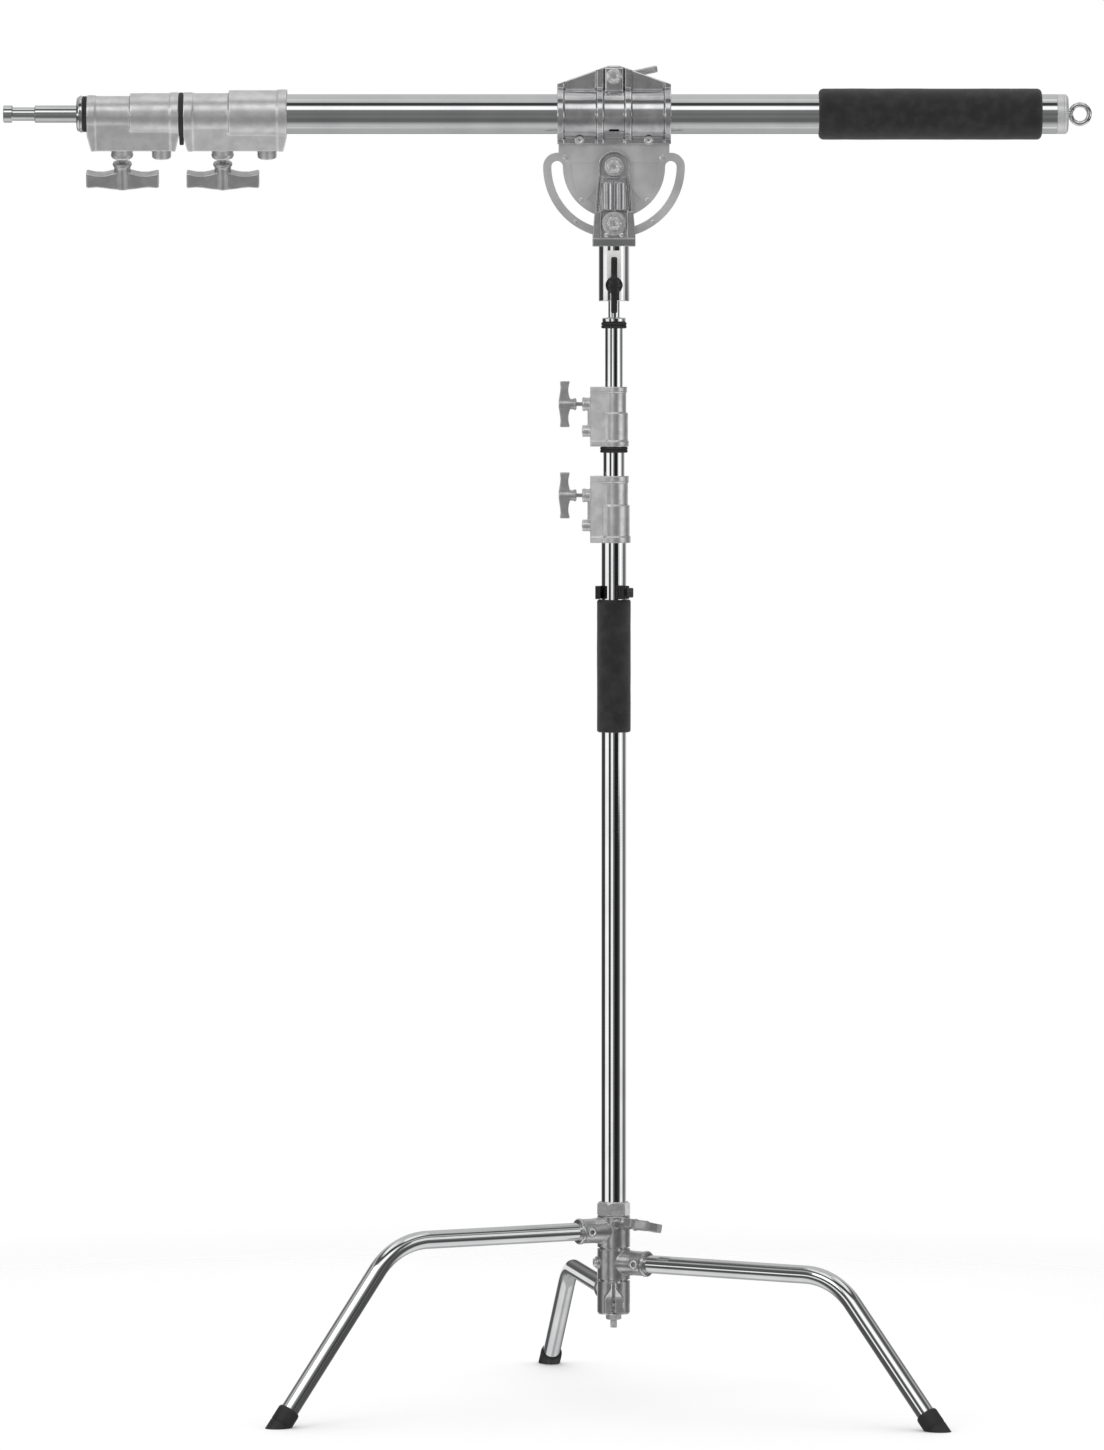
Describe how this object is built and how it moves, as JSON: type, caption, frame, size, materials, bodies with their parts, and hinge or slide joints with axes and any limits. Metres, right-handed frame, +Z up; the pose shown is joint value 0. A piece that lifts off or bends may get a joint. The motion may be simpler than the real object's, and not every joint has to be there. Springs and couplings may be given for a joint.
{
  "type": "c stand with boom arm",
  "caption": "Three-legged lighting stand with a telescoping column and a telescoping boom arm on a tilting, lift-off head.",
  "frame": {"origin": "on the floor under the middle of the whole outline; the column axis stands 92.1 mm to +X and 118.3 mm to -Y of it", "axes": "+Z up along the column, +X along the boom toward its foam grip, -Y toward the side with the bolt heads and the knob"},
  "size_m": [1.5118, 0.8273, 1.8725],
  "materials": {
    "chromed_tube": "polished chrome on steel",
    "cast_aluminium": "satin, tumbled casting",
    "bright_steel": "bright plated fastener",
    "pressed_steel": "polished pressing",
    "plate_steel": "satin brushed plate",
    "black_rubber": "matt rubber",
    "black_foam": "matt closed-cell foam",
    "black_plastic": "moulded, slightly glossy",
    "nylon_bush": "plain nylon",
    "brass_insert": "turned brass",
    "blank_label": "blank adhesive plate"
  },
  "bodies": {
    "base": {"top_leg_casting": "cast_aluminium", "top_leg_tube": "chromed_tube", "top_leg_foot": "black_rubber", "top_leg_screw": "bright_steel", "center_post": "chromed_tube", "hub_nut": "bright_steel"},
    "base_lock": {"base_handle": "cast_aluminium"},
    "middle_leg": {"middle_leg_casting": "cast_aluminium", "middle_leg_tube": "chromed_tube", "middle_leg_foot": "black_rubber", "middle_leg_screws": "bright_steel"},
    "bottom_leg": {"bottom_leg_casting": "cast_aluminium", "bottom_leg_tube": "chromed_tube", "bottom_leg_foot": "black_rubber", "bottom_leg_screws": "bright_steel"},
    "column": {"column_foot": "bright_steel", "column_tube": "chromed_tube", "column_grip": "black_foam", "column_casting": "cast_aluminium", "column_bush": "nylon_bush", "cable_clip": "black_plastic"},
    "column_lock": {"column_handle": "cast_aluminium"},
    "clip_screw": {"clip_knob": "black_plastic"},
    "riser_1": {"riser_1_tube": "chromed_tube", "riser_1_bumper": "black_rubber", "riser_1_casting": "cast_aluminium", "riser_1_bush": "nylon_bush"},
    "riser_1_lock": {"riser_1_handle": "cast_aluminium"},
    "riser_2": {"riser_2_tube": "chromed_tube", "riser_2_bumper": "black_rubber", "spigot": "chromed_tube"},
    "head": {"head_socket": "chromed_tube", "socket_insert": "brass_insert", "label_plate": "blank_label", "front_bracket": "pressed_steel", "rear_bracket": "pressed_steel", "pivot_bolt": "bright_steel", "lock_bolt": "bright_steel"},
    "socket_lock": {"socket_knob": "black_plastic"},
    "tilt_lock": {"tilt_handle": "cast_aluminium"},
    "clamp": {"front_clamp_shell": "pressed_steel", "rear_clamp_shell": "pressed_steel", "protractor_plate": "plate_steel", "clamp_screws": "bright_steel", "clamp_bolt": "bright_steel"},
    "clamp_lock": {"clamp_handle": "cast_aluminium"},
    "boom": {"boom_tube": "chromed_tube", "boom_grip": "black_foam", "boom_end_plug": "bright_steel", "eye_ring": "bright_steel", "boom_casting": "cast_aluminium"},
    "boom_lock": {"boom_handle": "cast_aluminium"},
    "boom_2": {"boom_2_tube": "chromed_tube", "boom_2_bumper": "black_rubber", "boom_2_casting": "cast_aluminium"},
    "boom_2_lock": {"boom_2_handle": "cast_aluminium"},
    "boom_3": {"boom_3_tube": "chromed_tube", "boom_3_bumper": "black_rubber", "boom_stud": "chromed_tube"}
  },
  "joints": [
    {"name": "column_swivel", "type": "hinge", "parent": "base", "child": "column", "pos_m": [0.09215, -0.11827, 0.268], "axis": [0, 0, 1], "continuous": true},
    {"name": "base_lock_turn", "type": "hinge", "parent": "base", "child": "base_lock", "pos_m": [0.09215, -0.11827, 0.258], "axis": [0.7071, -0.7071, 0], "range_deg": [0, 360]},
    {"name": "middle_leg_fold", "type": "hinge", "parent": "base", "child": "middle_leg", "pos_m": [0.09215, -0.11827, 0.203], "axis": [0, 0, 1], "range_deg": [-108, 0]},
    {"name": "bottom_leg_fold", "type": "hinge", "parent": "base", "child": "bottom_leg", "pos_m": [0.09215, -0.11827, 0.1605], "axis": [0, 0, 1], "range_deg": [0, 98]},
    {"name": "column_lock_turn", "type": "hinge", "parent": "column", "child": "column_lock", "pos_m": [0.09215, -0.11827, 1.27403], "axis": [-1, 0, 0], "range_deg": [0, 360]},
    {"name": "clip_screw_turn", "type": "hinge", "parent": "column", "child": "clip_screw", "pos_m": [0.10815, -0.13827, 1.139], "axis": [1, 0, 0], "range_deg": [0, 360]},
    {"name": "riser_1_slide", "type": "slide", "parent": "column", "child": "riser_1", "axis": [0, 0, 1], "range_m": [-0.031, 0.72]},
    {"name": "riser_1_lock_turn", "type": "hinge", "parent": "riser_1", "child": "riser_1_lock", "pos_m": [0.09215, -0.11827, 1.40093], "axis": [-1, 0, 0], "range_deg": [0, 360]},
    {"name": "riser_2_slide", "type": "slide", "parent": "riser_1", "child": "riser_2", "axis": [0, 0, 1], "range_m": [-0.08, 0.72]},
    {"name": "head_lift", "type": "slide", "parent": "riser_2", "child": "head", "axis": [0, 0, 1], "range_m": [0, 0.086]},
    {"name": "socket_lock_turn", "type": "hinge", "parent": "head", "child": "socket_lock", "pos_m": [0.09215, -0.13977, 1.566], "axis": [0, -1, 0], "range_deg": [0, 360]},
    {"name": "tilt_lock_turn", "type": "hinge", "parent": "head", "child": "tilt_lock", "pos_m": [0.09215, -0.11137, 1.6515], "axis": [0, 1, 0], "range_deg": [0, 360]},
    {"name": "boom_tilt", "type": "hinge", "parent": "head", "child": "clamp", "pos_m": [0.09215, -0.11827, 1.7305], "axis": [0, 1, 0], "range_deg": [-65, 65]},
    {"name": "clamp_lock_turn", "type": "hinge", "parent": "clamp", "child": "clamp_lock", "pos_m": [0.09215, -0.10627, 1.8552], "axis": [0, 1, 0], "range_deg": [0, 360]},
    {"name": "boom_slide", "type": "slide", "parent": "clamp", "child": "boom", "axis": [1, 0, 0], "range_m": [-0.2, 0.35]},
    {"name": "boom_lock_turn", "type": "hinge", "parent": "boom", "child": "boom_lock", "pos_m": [-0.45257, -0.11827, 1.8035], "axis": [0, 0.3746, -0.9272], "range_deg": [0, 360]},
    {"name": "boom_2_slide", "type": "slide", "parent": "boom", "child": "boom_2", "axis": [-1, 0, 0], "range_m": [0, 0.6]},
    {"name": "boom_2_lock_turn", "type": "hinge", "parent": "boom_2", "child": "boom_2_lock", "pos_m": [-0.59249, -0.11827, 1.8035], "axis": [0, 0.3746, -0.9272], "range_deg": [0, 360]},
    {"name": "boom_3_slide", "type": "slide", "parent": "boom_2", "child": "boom_3", "axis": [-1, 0, 0], "range_m": [0, 0.6]}
  ]
}
